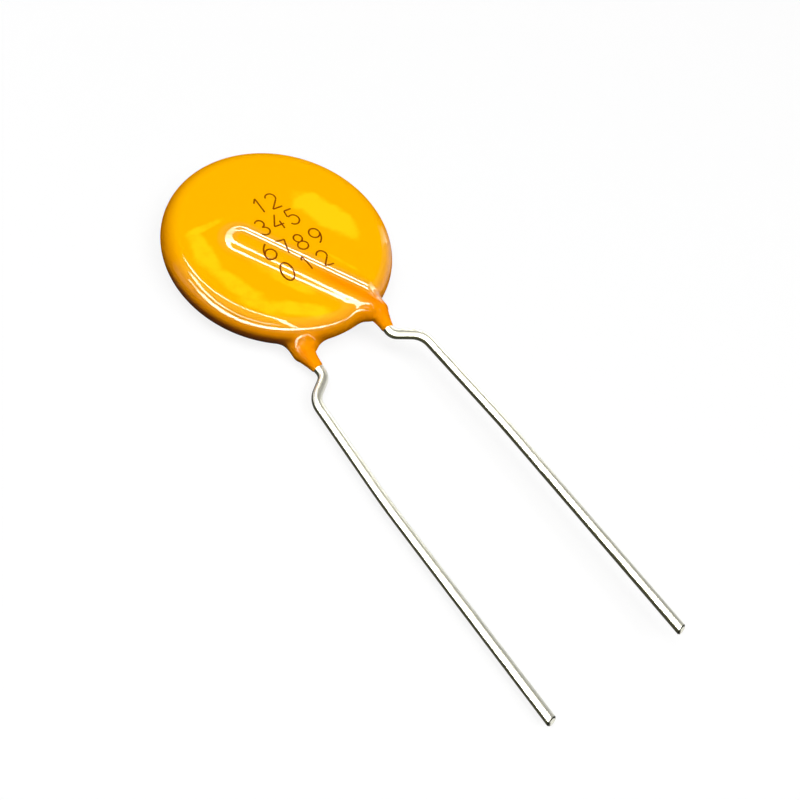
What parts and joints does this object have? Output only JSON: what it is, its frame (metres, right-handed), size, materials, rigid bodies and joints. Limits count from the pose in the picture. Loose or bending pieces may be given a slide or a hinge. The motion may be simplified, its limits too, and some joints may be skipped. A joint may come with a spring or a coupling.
{
  "type": "ceramic disc capacitor",
  "caption": "Glossy orange-yellow coated disc with a raised ridge over each buried wire and two long tinned wire leads with outward kinks.",
  "frame": {"origin": "middle of the part's box, on the plane it lies on, below the middle plane of the disc", "axes": "+Z out of the marked front face, -Y along the leads towards their tips, +X towards the front lead's side"},
  "size_m": [0.0182, 0.05, 0.0039],
  "materials": {
    "coating": "glossy dipped orange-yellow coating",
    "ceramic": "matt sintered",
    "silver_film": "matt fired silver",
    "solder": "bright reflowed solder",
    "tinned_wire": "bright tinned copper, lightly drawn"
  },
  "bodies": {
    "root": {"coating": "coating", "ceramic_disc": "ceramic", "front_electrode": "silver_film", "rear_electrode": "silver_film", "front_solder": "solder", "rear_solder": "solder", "front_lead": "tinned_wire", "rear_lead": "tinned_wire"}
  },
  "joints": []
}
